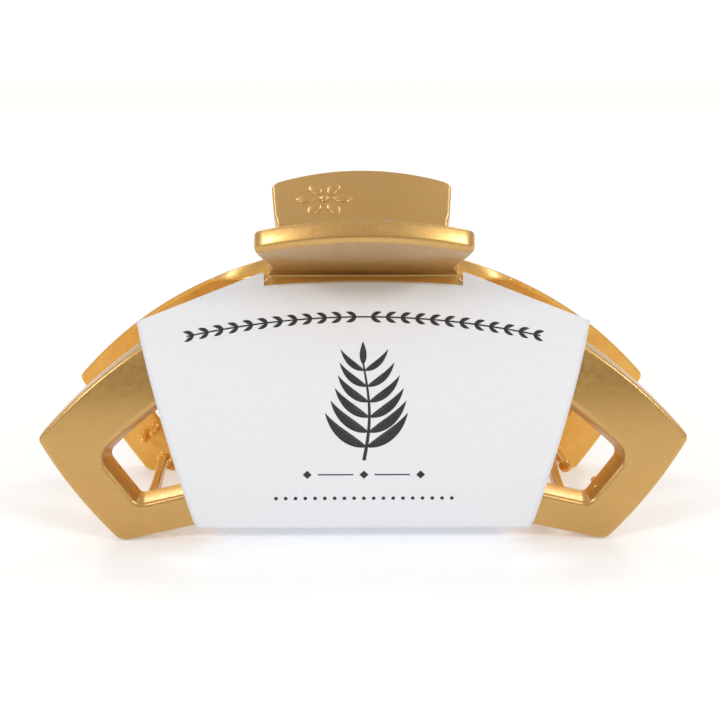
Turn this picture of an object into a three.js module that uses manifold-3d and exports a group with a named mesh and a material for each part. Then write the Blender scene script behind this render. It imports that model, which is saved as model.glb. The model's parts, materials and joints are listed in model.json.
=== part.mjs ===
// Claw hair clip: two identical moulded jaws, turned half a turn from each other, on one steel hinge pin,
// closed by a torsion spring, with the card that the clip is sold on. Millimetres, +Z up.
// The origin is on the surface that the clip stands on, below the middle of the hinge. X runs along the
// clip's length, and the front jaw is on the -Y side.
import * as THREE from "three";
import { mergeVertices } from "three/addons/utils/BufferGeometryUtils.js";
import Module from "manifold-3d";

const wasm = await Module();
wasm.setup();

// ---------------------------------------------------------------- driving dimensions
const HALF_LENGTH = 55; // the jaws' tips
const HINGE_Z = 45.7;
const WALL = 3.5; // of a jaw, from the frame to the handle's lip
const GAP = 0.3; // left between pieces that touch

const TIP_Z = 19.4;
const CROWN_DROP = 0.9; // the crown meets the neck this far below the hinge axis
const CROWN_RADIUS = 87.5; // of the crown's arc from the neck to the tip
const END_LEAN = 12.7; // the foot stands this far in from the tip
const END_BULGE = 0.6;
const SILL_SLOPE = 0.25; // rise of the bottom edge towards the middle
const SILL_BLEND = 15; // half length of the rounding in its middle
const CROWN_BAND = 9.6; // widths of the frame round each window
const END_BAND = 7.3;
const SILL_BAND = 6.5;
const TIP_ROUND = 1.3;
const FOOT_ROUND = 2.2;
const WINDOW_ROUND = { web: 4, tip: 2.6, foot: 2 };

const FOOT_Y = 17.3; // the face's distance from the middle plane, from the foot to the neck
const BELLY_Y = 20.3;
const SHOULDER = { y: 17, below: 15.7 }; // "below" is measured from the hinge axis
const HIP = { y: 15.5, below: 9.2 };
const NECK = { y: 10.9, below: 2.8 };

const NECK_HALF = 16.5; // half widths: at the crown, the waist and the lip
const WAIST_HALF = 15.5;
const LIP_HALF = 17.4;
const LIP_ARCH = 3.2; // the lip's middle stands this far past its corners
const LIP_ROUND = 1.4;
const HANDLE_REACH = 25.5; // hinge axis to the lip's corners, along the plate
const HANDLE_TILT = THREE.MathUtils.degToRad(26.3); // above horizontal
const PLATE_DROP = 0.35; // the plate's inner face passes this far below the hinge axis

const PIN_RADIUS = 1.2;
const PIN_HEAD = { radius: 2.1, thickness: 0.8 };
const BORE_RADIUS = PIN_RADIUS + 0.15;
const EAR_RADIUS = 4.4;
const EAR_WIDTH = 3;
const EAR_OUTER = 14; // outer face of the ear next to the pin's head
const EAR_PLAY = 0.5; // between neighbouring ears

const WIRE_RADIUS = 0.6;
const COIL_RADIUS = 2.9; // to the wire's middle
const COIL_TURNS = 6;
const COIL_PITCH = 1.35;
const LEG_REACH = 10.5; // hinge axis to the leg's end

const TOOTH_COUNT = 9;
const TOOTH_MARGIN = 4.9; // first tooth to the foot
const TOOTH_STAGGER = 2.4; // one jaw's teeth to the other's, so that they pass each other
const TOOTH_WIDTH = 1.6;
const TOOTH_TIP_RADIUS = 1.2;
const TOOTH_REACH = 2.5; // the tips' centres, past the middle plane
const TOOTH_ROOT = { low: 1.8, high: 6.2 }; // above the bottom edge, at the wall
const TOOTH_RISE = 6.6; // the tip's centre above the bottom edge
const NUB_RADIUS = 0.75;
const NUB_TIP_Y = 12; // the grip nubs' ends, from the middle plane
const NUBS = [
  { past: 0.4, z: 7.4 }, // "past" is measured from the foot
  { past: -1.4, z: 8.8 },
];

const CARD_THICKNESS = 0.4;
const CARD_TOP = { half: 37.9, below: 7.1 }; // upper outer corner
const CARD_SHOULDER_UP = 0.2; // above the hinge axis, beside the waist
const CARD_NOTCH = { side: 1.9, middle: 1.2 }; // below the hinge axis
const CARD_FOOT = { half: 28.9, z: 2.6 }; // the fold
const CARD_FLAP = { half: 26, depth: 14 }; // folded back under the front jaw

// ---------------------------------------------------------------- what follows from them
const FOOT_X = HALF_LENGTH - END_LEAN;
const CROWN_Z = HINGE_Z - CROWN_DROP;
const FIRST_TOOTH_X = -(FOOT_X - TOOTH_MARGIN);
const TOOTH_PITCH = (-2 * FIRST_TOOTH_X - TOOTH_STAGGER) / (TOOTH_COUNT - 1);

// ---------------------------------------------------------------- solids
const X = new THREE.Vector3(1, 0, 0);
const Y = new THREE.Vector3(0, 1, 0);
const Z = new THREE.Vector3(0, 0, 1);
const plateOut = new THREE.Vector3(0, -Math.cos(HANDLE_TILT), Math.sin(HANDLE_TILT));
const plateUp = new THREE.Vector3(0, Math.sin(HANDLE_TILT), Math.cos(HANDLE_TILT));

const range = (count) => Array.from({ length: count }, (_, i) => i);
const mirrored = (points) => [...points, ...points.map((p) => ({ ...p, x: -p.x })).reverse()];

function solid(geometry) {
  const plain = geometry.index ? geometry.toNonIndexed() : geometry;
  const points = new THREE.BufferGeometry().setAttribute("position", plain.getAttribute("position"));
  const merged = mergeVertices(points, 1e-4);
  return new wasm.Manifold(
    new wasm.Mesh({
      numProp: 3,
      vertProperties: merged.attributes.position.array,
      triVerts: new Uint32Array(merged.index.array),
    }),
  );
}

// Booleans leave slivers along facets that nearly meet; they are closed up to this size.
const SLIVER = 0.02;

function geometryOf(manifold) {
  const mesh = manifold.simplify(SLIVER).getMesh();
  const geometry = new THREE.BufferGeometry();
  geometry.setAttribute("position", new THREE.BufferAttribute(new Float32Array(mesh.vertProperties), 3));
  geometry.setIndex(new THREE.BufferAttribute(new Uint32Array(mesh.triVerts), 1));
  geometry.computeVertexNormals();
  return geometry;
}

// A shape whose own axes lie along `right` and `up`, made `depth` thick with its middle at `at`.
function prism(shape, right, up, at, depth) {
  const through = new THREE.Vector3().crossVectors(right, up);
  const geometry = new THREE.ExtrudeGeometry(shape, { depth, bevelEnabled: false, curveSegments: 5 });
  geometry.translate(0, 0, -depth / 2);
  geometry.applyMatrix4(new THREE.Matrix4().makeBasis(right, up, through).setPosition(at));
  return solid(geometry);
}

const acrossX = (shape, x, width) => prism(shape, Y, Z, new THREE.Vector3(x, 0, 0), width);
const acrossY = (shape, y, depth, z = 0) => prism(shape, X, Z, new THREE.Vector3(0, y, z), depth);

function bore(x0, x1) {
  const geometry = new THREE.CylinderGeometry(BORE_RADIUS, BORE_RADIUS, x1 - x0, 24);
  return solid(geometry.rotateZ(-Math.PI / 2).translate((x0 + x1) / 2, 0, HINGE_Z));
}

function ball(radius, x, y, z) {
  return solid(new THREE.SphereGeometry(radius, 10, 6).rotateX(Math.PI / 2).translate(x, y, z));
}

// A closed outline through `corners`, each rounded by its own radius r; plain points have none.
function rounded(corners) {
  const shape = new THREE.Shape();
  corners.forEach((corner, i) => {
    const at = new THREE.Vector2(corner.x, corner.y);
    const back = new THREE.Vector2().copy(corners.at(i - 1)).sub(at);
    const ahead = new THREE.Vector2().copy(corners[(i + 1) % corners.length]).sub(at);
    const half = Math.abs(back.angleTo(ahead)) / 2;
    const run = Math.min((corner.r ?? 0) / Math.tan(half), back.length() / 2, ahead.length() / 2);
    const start = at.clone().addScaledVector(back.normalize(), run);
    const end = at.clone().addScaledVector(ahead.normalize(), run);
    if (i === 0) shape.moveTo(start.x, start.y);
    else shape.lineTo(start.x, start.y);
    if (run > 0) shape.quadraticCurveTo(at.x, at.y, end.x, end.y);
  });
  shape.closePath();
  return shape;
}

// ---------------------------------------------------------------- outlines seen from the front
// Centre of the crown's right arc: it passes through the neck's corner and the tip.
function crownCentre() {
  const neck = new THREE.Vector2(NECK_HALF, CROWN_Z);
  const tip = new THREE.Vector2(HALF_LENGTH, TIP_Z);
  const chord = tip.clone().sub(neck);
  const toCentre = new THREE.Vector2(chord.y, -chord.x).normalize();
  const height = Math.sqrt(CROWN_RADIUS ** 2 - chord.lengthSq() / 4);
  return neck.add(tip).multiplyScalar(0.5).addScaledVector(toCentre, height);
}
const CENTRE = crownCentre();

function crownZ(x, inset = 0) {
  return CENTRE.y + Math.sqrt((CROWN_RADIUS - inset) ** 2 - (x - CENTRE.x) ** 2);
}

// Height of the bottom edge: straight from the foot, rounded over the middle.
function sillZ(x) {
  const away = Math.abs(x);
  if (away > SILL_BLEND) return SILL_SLOPE * (FOOT_X - away);
  return SILL_SLOPE * (FOOT_X - SILL_BLEND / 2 - away ** 2 / (2 * SILL_BLEND));
}

// Point of the right end edge at share t from the tip to the foot, moved `inset` towards the middle.
function endPoint(t, inset = 0) {
  const tip = new THREE.Vector2(HALF_LENGTH, TIP_Z);
  const along = new THREE.Vector2(FOOT_X, 0).sub(tip);
  const outward = new THREE.Vector2(-along.y, along.x).normalize();
  return tip.addScaledVector(along, t).addScaledVector(outward, 4 * END_BULGE * t * (1 - t) - inset);
}

function frameOutline() {
  const steps = 9;
  const crown = range(steps).map((i) => {
    const x = NECK_HALF + ((HALF_LENGTH - NECK_HALF) * i) / steps;
    return { x, y: crownZ(x) };
  });
  const end = range(5).map((i) => endPoint(i / 4));
  const corner = ({ x, y }, r) => ({ x, y, r });
  const sill = [30, 22, SILL_BLEND, 10, 5, 0].map((x) => ({ x, y: sillZ(x) }));
  return rounded(
    mirrored([
      { x: WAIST_HALF, y: HINGE_Z + 2 },
      ...crown,
      corner(end[0], TIP_ROUND),
      ...end.slice(1, -1),
      corner(end.at(-1), FOOT_ROUND),
      ...sill,
    ]).filter((p, i, all) => i === 0 || p.x !== all[i - 1].x || p.y !== all[i - 1].y),
  );
}

// Share along the inset end edge at which it crosses a line that lies above it at its lower end.
function crossing(lineZ) {
  let [high, low] = [-0.5, 1.5];
  for (let i = 0; i < 40; i += 1) {
    const t = (high + low) / 2;
    const p = endPoint(t, END_BAND);
    if (p.y > lineZ(p.x)) high = t;
    else low = t;
  }
  return endPoint(low, END_BAND);
}

// The window on one side, between the panel under the handle and the jaw's end.
function windowOutline(side) {
  const web = NECK_HALF + 1;
  const sill = (x) => sillZ(x) + SILL_BAND;
  const top = crossing((x) => crownZ(x, CROWN_BAND));
  const low = crossing(sill);
  const crown = range(6).map((i) => {
    const x = web + ((top.x - web) * i) / 6;
    return { x, y: crownZ(x, CROWN_BAND) };
  });
  crown[0].r = WINDOW_ROUND.web;
  const corners = [
    ...crown,
    { x: top.x, y: top.y, r: WINDOW_ROUND.tip },
    { x: low.x, y: low.y, r: WINDOW_ROUND.foot },
    { x: web, y: sill(web), r: WINDOW_ROUND.web },
  ];
  return rounded(corners.map((p) => ({ ...p, x: side * p.x })));
}

// The handle in its own plane: x across, y out from the hinge axis.
function handleOutline() {
  const lip = range(7).map((i) => {
    const x = LIP_HALF * (1 - i / 6);
    return { x, y: HANDLE_REACH + LIP_ARCH * (1 - (x / LIP_HALF) ** 2) };
  });
  lip[0].r = LIP_ROUND;
  return rounded(mirrored([{ x: WAIST_HALF, y: 6.5 }, { x: WAIST_HALF, y: 9 }, ...lip.slice(0, -1)]));
}

// ---------------------------------------------------------------- the jaw's side profile
// The front jaw's outer face from its foot, over the belly and the waist, to the handle's end, as (y, z).
function outerFace() {
  const at = (y, z) => new THREE.Vector2(-y, z);
  const below = ({ y, below: drop }) => at(y, HINGE_Z - drop);
  const onPlate = (reach) => {
    const p = plateOut.clone().multiplyScalar(reach).addScaledVector(plateUp, -WALL - PLATE_DROP);
    return new THREE.Vector2(p.y, HINGE_Z + p.z);
  };
  const shoulder = below(SHOULDER);
  const neck = below(NECK);
  const frame = new THREE.QuadraticBezierCurve(at(FOOT_Y, -1), at(BELLY_Y, shoulder.y * 0.52), shoulder);
  const rise = new THREE.QuadraticBezierCurve(shoulder, below(HIP), neck);
  const over = neck.clone().add(neck.clone().sub(below(HIP)).multiplyScalar(0.3));
  const waist = new THREE.CubicBezierCurve(neck, over, onPlate(6.6), onPlate(9.8));
  const plate = [onPlate(12), onPlate(HANDLE_REACH + LIP_ARCH + 4)];
  return [...frame.getPoints(7), ...rise.getPoints(5).slice(1), ...waist.getPoints(6).slice(1), ...plate];
}

// A line moved `distance` towards the inside of the clip.
function offsetLine(line, distance) {
  return line.map((p, i) => {
    const t = line[Math.min(i + 1, line.length - 1)].clone().sub(line[Math.max(i - 1, 0)]).normalize();
    return new THREE.Vector2(p.x + t.y * distance, p.y - t.x * distance);
  });
}

function band(line, from, to) {
  return new THREE.Shape([...offsetLine(line, to), ...offsetLine(line, from).reverse()]);
}

// y of the frame's face at a height below the waist, `inset` into the wall.
function faceY(z, inset = 0) {
  const line = offsetLine(outerFace(), inset);
  const k = Math.max(line.findIndex((p) => p.y >= z), 1);
  const t = (z - line[k - 1].y) / (line[k].y - line[k - 1].y);
  return THREE.MathUtils.lerp(line[k - 1].x, line[k].x, t);
}

// ---------------------------------------------------------------- details of a jaw
// One tooth: it grows from the wall above the bottom edge, over the middle plane, to a round tip.
function tooth(x) {
  const z = sillZ(x);
  const root = faceY(z + 4, WALL / 2);
  const tip = { y: TOOTH_REACH, z: z + TOOTH_RISE };
  const half = TOOTH_TIP_RADIUS * 0.8;
  const shape = new THREE.Shape();
  shape.moveTo(root, z + TOOTH_ROOT.low);
  shape.bezierCurveTo(root + 9, z + TOOTH_ROOT.low + 0.6, tip.y - 7, tip.z - 2.4, tip.y, tip.z - half);
  shape.lineTo(tip.y, tip.z + half);
  shape.bezierCurveTo(tip.y - 7, tip.z - 0.2, root + 8, z + TOOTH_ROOT.high + 0.4, root, z + TOOTH_ROOT.high);
  return acrossX(shape, x, TOOTH_WIDTH).add(ball(TOOTH_TIP_RADIUS, x, tip.y, tip.z));
}

function nub({ past, z }) {
  const x = FOOT_X + past;
  const root = faceY(z, WALL / 2);
  const length = -NUB_TIP_Y - root;
  const peg = new THREE.CylinderGeometry(NUB_RADIUS, NUB_RADIUS * 1.3, length, 10);
  return solid(peg.translate(x, root + length / 2, z)).add(ball(NUB_RADIUS, x, -NUB_TIP_Y, z));
}

// An ear round the hinge pin, with a web to the neck's wall.
function ear(x0) {
  const x1 = x0 + EAR_WIDTH;
  const low = HINGE_Z - EAR_RADIUS - 2;
  const shape = new THREE.Shape();
  shape.moveTo(faceY(low, WALL / 2), low);
  shape.quadraticCurveTo(-EAR_RADIUS - 1, HINGE_Z - EAR_RADIUS + 1, 0, HINGE_Z - EAR_RADIUS);
  shape.absarc(0, HINGE_Z, EAR_RADIUS, -Math.PI / 2, Math.PI / 2, false);
  shape.quadraticCurveTo(-EAR_RADIUS, HINGE_Z + EAR_RADIUS, -NECK.y + WALL / 2, HINGE_Z + 2.6);
  shape.lineTo(-NECK.y + WALL / 2, HINGE_Z - 1);
  return acrossX(shape, (x0 + x1) / 2, EAR_WIDTH).subtract(bore(x0 - 1, x1 + 1));
}

function jaw() {
  const shell = acrossX(band(outerFace(), 0, WALL), 0, 2 * HALF_LENGTH + 4);
  const depth = 2 * BELLY_Y;
  const outline = frameOutline();
  const lowest = Math.min(...outline.getPoints(5).map((p) => p.y));
  const frame = shell
    .intersect(acrossY(outline, -depth / 2, depth, -lowest))
    .subtract(acrossY(windowOutline(1), -depth / 2, depth))
    .subtract(acrossY(windowOutline(-1), -depth / 2, depth));
  const handle = shell.intersect(prism(handleOutline(), X, plateOut, new THREE.Vector3(0, 0, HINGE_Z), 12));
  const innerEar = EAR_OUTER - 2 * EAR_WIDTH - EAR_PLAY;
  const teeth = range(TOOTH_COUNT).map((i) => tooth(FIRST_TOOTH_X + TOOTH_PITCH * i));
  const parts = [handle, ear(-EAR_OUTER), ear(innerEar), ...teeth, ...NUBS.map(nub)];
  return parts.reduce((whole, part) => whole.add(part), frame);
}

// ---------------------------------------------------------------- pin, spring and card
function hingePin() {
  const inner = EAR_OUTER + GAP;
  const outer = inner + PIN_HEAD.thickness;
  const half = [
    [0, -outer],
    [PIN_HEAD.radius * 0.7, -outer + 0.1],
    [PIN_HEAD.radius, -outer + 0.4],
    [PIN_HEAD.radius, -inner],
    [PIN_RADIUS, -inner],
  ];
  const outline = [...half, ...half.map(([r, h]) => [r, -h]).reverse()].map(([r, h]) => new THREE.Vector2(r, h));
  const pin = solid(new THREE.LatheGeometry(outline, 20));
  return geometryOf(pin).rotateZ(-Math.PI / 2).translate(0, 0, HINGE_Z);
}

// Wire from the front handle, wound round the pin, to the back handle.
class SpringWire extends THREE.Curve {
  constructor() {
    super();
    this.end = plateOut.clone().multiplyScalar(LEG_REACH).addScaledVector(plateUp, WIRE_RADIUS + GAP - PLATE_DROP);
    const reach = Math.hypot(this.end.y, this.end.z);
    this.start = Math.atan2(this.end.z, this.end.y) - Math.acos(COIL_RADIUS / reach);
    this.sweep = 2 * Math.PI * COIL_TURNS + Math.PI + 2 * this.start;
    this.half = (COIL_PITCH * this.sweep) / (4 * Math.PI);
    this.leg = Math.sqrt(reach ** 2 - COIL_RADIUS ** 2);
    this.coil = COIL_RADIUS * this.sweep;
  }
  getPoint(t, target = new THREE.Vector3()) {
    const total = 2 * this.leg + this.coil;
    const s = t * total;
    if (s < this.leg) return this.onLeg(s / this.leg, -1, target);
    if (s > total - this.leg) return this.onLeg((total - s) / this.leg, 1, target);
    const turned = (s - this.leg) / this.coil;
    const angle = this.start - this.sweep * turned;
    const x = this.half * (2 * turned - 1);
    return target.set(x, COIL_RADIUS * Math.cos(angle), HINGE_Z + COIL_RADIUS * Math.sin(angle));
  }
  // Share 0 is a leg's free end and 1 is where it meets the coil; side -1 is the front handle's leg.
  onLeg(share, side, target) {
    const y = THREE.MathUtils.lerp(this.end.y, COIL_RADIUS * Math.cos(this.start), share);
    const z = THREE.MathUtils.lerp(this.end.z, COIL_RADIUS * Math.sin(this.start), share);
    return target.set(side * this.half, -side * y, HINGE_Z + z);
  }
}

function torsionSpring() {
  const section = new THREE.Shape();
  section.absarc(0, 0, WIRE_RADIUS, 0, 2 * Math.PI, false);
  const options = { extrudePath: new SpringWire(), steps: 120, curveSegments: 3, bevelEnabled: false };
  return new THREE.ExtrudeGeometry(section, options);
}

// The card lies over the front jaw's face, notched round the neck, with a flap folded back under the jaw.
function displayCard() {
  const top = HINGE_Z - CARD_NOTCH.side;
  const face = outerFace().filter((p) => p.y < top && p.x < -NECK.y);
  const [before, last] = face.slice(-2);
  face.push(last.clone().addScaledVector(last.clone().sub(before).normalize(), 5));
  const sheet = acrossX(band(face, -GAP - CARD_THICKNESS, -GAP), 0, 2 * HALF_LENGTH);
  const half = NECK_HALF + GAP;
  const notch = range(4).map((i) => {
    const x = half * (1 - i / 4);
    const rise = (CARD_NOTCH.side - CARD_NOTCH.middle) * (1 - (x / half) ** 2);
    return { x, y: top + rise };
  });
  const corners = [
    { x: CARD_FOOT.half, y: CARD_FOOT.z },
    { x: CARD_TOP.half, y: HINGE_Z - CARD_TOP.below },
    { x: half, y: HINGE_Z + CARD_SHOULDER_UP },
    ...notch,
  ];
  const panel = sheet.intersect(acrossY(rounded(mirrored(corners)), -BELLY_Y, 2 * BELLY_Y));
  const fold = faceY(CARD_FOOT.z) - GAP - CARD_THICKNESS / 2;
  const flap = mirrored([{ x: CARD_FLAP.half, y: fold + CARD_FLAP.depth }, { x: CARD_FLAP.half, y: fold }]);
  const middle = new THREE.Vector3(0, 0, CARD_FOOT.z + CARD_THICKNESS / 2);
  return panel.add(prism(rounded(flap), X, Y, middle, CARD_THICKNESS));
}

// ---------------------------------------------------------------- the clip
const GOLD = { color: 0xc39a55, roughness: 0.35, metalness: 0.8 };
const STEEL = { color: 0xb8bcc0, roughness: 0.3, metalness: 1 };
const PAPER = { color: 0xf0eff0, roughness: 0.7, metalness: 0 };

function piece(name, geometry, finish) {
  const mesh = new THREE.Mesh(geometry, new THREE.MeshStandardMaterial(finish));
  mesh.name = name;
  return mesh;
}

const clip = new THREE.Group();
const jawGeometry = geometryOf(jaw());
const backJaw = piece("back_jaw", jawGeometry, GOLD);
backJaw.rotation.z = Math.PI;
clip.add(
  piece("front_jaw", jawGeometry, GOLD),
  backJaw,
  piece("hinge_pin", hingePin(), STEEL),
  piece("torsion_spring", torsionSpring(), STEEL),
  piece("display_card", geometryOf(displayCard()), PAPER),
);

export default clip;
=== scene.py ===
"""Looks of the claw hair clip: two satin gold jaws on a sprung steel pin, on a white printed card.
Sizes below are in millimetres and are made metres where a mesh is built. The front jaw is on the -Y side."""
import json
import math

import bmesh
import bpy
import numpy as np
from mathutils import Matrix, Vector


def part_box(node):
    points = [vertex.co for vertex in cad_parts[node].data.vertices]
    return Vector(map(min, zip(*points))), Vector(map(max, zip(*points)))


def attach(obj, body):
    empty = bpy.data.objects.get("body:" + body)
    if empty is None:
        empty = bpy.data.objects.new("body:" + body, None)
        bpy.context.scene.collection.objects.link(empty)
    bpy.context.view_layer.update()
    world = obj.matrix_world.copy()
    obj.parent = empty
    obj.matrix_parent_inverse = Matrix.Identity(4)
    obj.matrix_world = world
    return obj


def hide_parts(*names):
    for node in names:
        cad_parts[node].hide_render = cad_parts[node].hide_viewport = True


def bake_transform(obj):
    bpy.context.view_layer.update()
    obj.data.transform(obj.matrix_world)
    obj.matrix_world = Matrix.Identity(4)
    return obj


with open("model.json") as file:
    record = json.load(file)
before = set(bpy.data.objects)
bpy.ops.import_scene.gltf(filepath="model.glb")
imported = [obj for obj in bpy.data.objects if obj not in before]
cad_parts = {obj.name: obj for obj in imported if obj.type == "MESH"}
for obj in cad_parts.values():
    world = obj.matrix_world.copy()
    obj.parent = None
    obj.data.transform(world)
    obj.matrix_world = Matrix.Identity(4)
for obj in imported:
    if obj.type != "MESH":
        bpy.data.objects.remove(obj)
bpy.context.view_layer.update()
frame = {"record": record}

# ---------------------------------------------------------------- sizes
MM = 0.001
HINGE = next(j for j in frame["record"]["behaviour"]["joints"] if j["name"] == "jaw_hinge")
HINGE_Z = HINGE["pos_m"][2] / MM
PIN_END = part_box("hinge_pin")[1].x / MM
CARD_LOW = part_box("display_card")[0]
CARD_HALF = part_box("display_card")[1].x / MM

HALF_LENGTH = 55.0
TIP_Z = 19.4
WALL = 3.5
CROWN_Z = HINGE_Z - 0.9  # where the crown meets the neck
CROWN_RADIUS = 87.5
FOOT_X = 42.3
FOOT_LIFT = -0.19  # the outline's foot stands this far above the lowest point of its round
END_BULGE = 0.6
SILL_SLOPE = 0.25
SILL_BLEND = 15.0
CROWN_BAND, END_BAND, SILL_BAND = 9.6, 7.3, 6.5
TIP_ROUND, FOOT_ROUND, NECK_ROUND = 1.3, 2.2, 1.2
WINDOW_ROUNDS = (4.0, 2.6, 2.0, 4.0)  # web top, tip, foot, web bottom

NECK_HALF, WAIST_HALF, LIP_HALF = 16.5, 15.5, 17.4
FRAME_POINTS = 175  # of the profile, from the foot to just below the neck's corner
SHEET_BEND, OUTLINE_BEND = 5.0, 1.6  # millimetres that a radian of turning counts for when points are spread
JOIN_Z = HINGE_Z - 4.2  # the frame's grid ends and the handle's begins
NECK_TOP_Z = HINGE_Z + 0.9
WINDOW_DRAFT = 1.0  # the windows are this much smaller all round at the inner side
LIP_ARCH = 3.2
LIP_ROUND = 1.5
HANDLE_REACH = 25.5
HANDLE_TILT = math.radians(26.3)
HANDLE_CROWN = 0.9  # the lip's corners lie this far below its middle
PLATE_DROP = 0.35

EDGE = 0.6  # rounding of the jaw's edges
WINDOW_EDGE = 0.95
LIP_EDGE = 0.95
SIDE_EDGE = 1.15
INNER_EDGE = 0.5

PIN_RADIUS = 1.2
BORE_RADIUS = PIN_RADIUS + 0.15
HEAD_RADIUS, HEAD_PLAY, HEAD_EDGE = 2.1, 0.3, 0.08
EAR_RADIUS, EAR_WIDTH, EAR_OUTER, EAR_PLAY = 4.4, 3.0, 14.0, 0.5
EAR_POINTS, EAR_RIM = 96, 0.35

WIRE_RADIUS, COIL_RADIUS, COIL_TURNS, COIL_PITCH, LEG_REACH = 0.6, 2.9, 6, 1.35, 10.5
SPRING_CLEAR = 0.3

TOOTH_COUNT, TOOTH_MARGIN, TOOTH_STAGGER = 9, 4.9, 2.4
TOOTH_HALF_WIDTH, TOOTH_TIP_RADIUS, TOOTH_REACH, TOOTH_RISE = 0.8, 1.2, 2.5, 6.6
NUBS = ((0.4, 7.4), (-1.4, 8.8))  # past the foot, and height
NUB_RADIUS, NUB_TIP_Y, NUB_FOOT = 0.75, 12.0, 1.2
TOOTH_SIDES = 28

FLOWER_X, FLOWER_REACH = 7.1, 19.4  # along X, and out from the hinge axis
PETAL_COUNT, PETAL_START, PETAL_LENGTH, PETAL_WIDTH, PETAL_HEIGHT = 6, 1.5, 4.1, 2.5, 0.32
BUTTON_WIDTH, BUTTON_HEIGHT = 2.2, 0.45

CARD_THICKNESS, CARD_GAP = 0.4, 0.3
CARD_FOOT_HALF, CARD_FOOT_Z = 28.9, CARD_LOW.z / MM
CARD_TOP_Z = HINGE_Z - 7.1
CARD_SHOULDER_X, CARD_SHOULDER_Z = NECK_HALF + 0.3, HINGE_Z + 0.2
CARD_NOTCH_SIDE, CARD_NOTCH_MIDDLE = HINGE_Z - 1.9, HINGE_Z - 1.2
FLAP_HALF, FLAP_DEPTH, FOLD_RADIUS, FLAP_CORNER = 26.0, 13.6, 0.8, 2.5
FLAP_POINTS, FOLD_POINTS, PANEL_ROWS = 20, 12, 90
FOLD_START, FOLD_END = FLAP_POINTS - 1, FLAP_POINTS + FOLD_POINTS - 2  # places in the card's line

ARCH_HALF, ARCH_TOP_Z, ARCH_FALL = 29.5, 39.2, 0.0033  # the card's print
SPRIG_LOW, SPRIG_HIGH = 15.8, 32.2
RULE_Z, DOTS_Z = 13.2, 8.8


# ---------------------------------------------------------------- mesh making
def build(name, parts, weld=2e-6):
    """A piece from (points in mm, quads) parts. Points that coincide are welded, so that seams are closed."""
    points = np.concatenate([p for p, _ in parts]) * MM
    starts = np.cumsum([0] + [len(p) for p, _ in parts[:-1]])
    faces = np.concatenate([np.asarray(quads) + start for (_, quads), start in zip(parts, starts)]).tolist()
    mesh = bpy.data.meshes.new(name)
    mesh.from_pydata(points.tolist(), [], faces)
    bm = bmesh.new()
    bm.from_mesh(mesh)
    bmesh.ops.remove_doubles(bm, verts=bm.verts, dist=weld)
    bmesh.ops.dissolve_degenerate(bm, edges=bm.edges, dist=weld / 2)
    bmesh.ops.recalc_face_normals(bm, faces=bm.faces)
    bm.to_mesh(mesh)
    bm.free()
    mesh.polygons.foreach_set("use_smooth", np.ones(len(mesh.polygons), bool))
    piece = bpy.data.objects.new(name, mesh)
    bpy.context.scene.collection.objects.link(piece)
    return piece


def grid_quads(rows, cols, loop_rows=False, loop_cols=False):
    """Quads of a rows x cols grid of points, which may close on itself either way."""
    i = np.arange(rows if loop_rows else rows - 1)[:, None]
    j = np.arange(cols if loop_cols else cols - 1)[None, :]
    i2, j2 = (i + 1) % rows, (j + 1) % cols
    corners = (i * cols + j, i * cols + j2, i2 * cols + j2, i2 * cols + j)
    return np.stack([np.broadcast_to(c, (i.shape[0], j.shape[1])).ravel() for c in corners], 1)


def tube(rings):
    """A closed body through rings of points (n, k, 3): the first and last rings shrink to poles."""
    n, k, _ = rings.shape
    return rings.reshape(-1, 3), grid_quads(n, k, loop_cols=True)


def revolved(profile, axis_point, sides=40, along="x"):
    """profile holds (radius, height) pairs that begin and end on the axis, turned a full circle about it."""
    a = np.linspace(0, 2 * math.pi, sides, endpoint=False)
    r, h = np.asarray(profile, float).T
    ring = np.stack(np.broadcast_arrays(h[:, None], r[:, None] * np.cos(a), r[:, None] * np.sin(a)), -1)
    order = {"x": (0, 1, 2), "y": (2, 0, 1)}[along]
    return tube(ring[..., order] + np.asarray(axis_point))


def quarter(n=6):
    """Angles from 0 to a right angle."""
    return np.linspace(0, math.pi / 2, n + 1)


def smoothstep(value, low, high):
    """0 below low, 1 above high, and between them three times the share squared less twice its cube."""
    t = np.clip((value - low) / (high - low), 0, 1)
    return t * t * (3 - 2 * t)


def bezier(points, n):
    """A Bezier curve of any degree through its control points, sampled n times."""
    p, t = np.asarray(points, float), np.linspace(0, 1, n)[:, None]
    degree = len(p) - 1
    return sum(math.comb(degree, i) * (1 - t) ** (degree - i) * t**i * p[i] for i in range(degree + 1))


# ---------------------------------------------------------------- the jaw's side profile
def outer_profile():
    """The front jaw's face from below the foot, over the belly and the waist, to past the lip, as (y, z)."""
    out = np.array([-math.cos(HANDLE_TILT), math.sin(HANDLE_TILT)])
    down = -np.array([math.sin(HANDLE_TILT), math.cos(HANDLE_TILT)]) * (WALL + PLATE_DROP)
    plate = lambda reach: np.array([0, HINGE_Z]) + out * reach + down
    shoulder, hip, neck = (-17.0, HINGE_Z - 15.7), (-15.5, HINGE_Z - 9.2), np.array([-10.9, HINGE_Z - 2.8])
    over = neck + 0.3 * (neck - hip)
    frame_part = bezier([(-17.3, -1.0), (-20.3, shoulder[1] * 0.52), shoulder], 90)
    rise = bezier([shoulder, hip, neck], 90)
    waist = bezier([neck, over, plate(6.6), plate(9.8)], 90)
    flat = np.linspace(plate(9.8), plate(HANDLE_REACH + LIP_ARCH + 3), 60)
    return np.concatenate([frame_part, rise[1:], waist[1:], flat[1:]])


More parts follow.
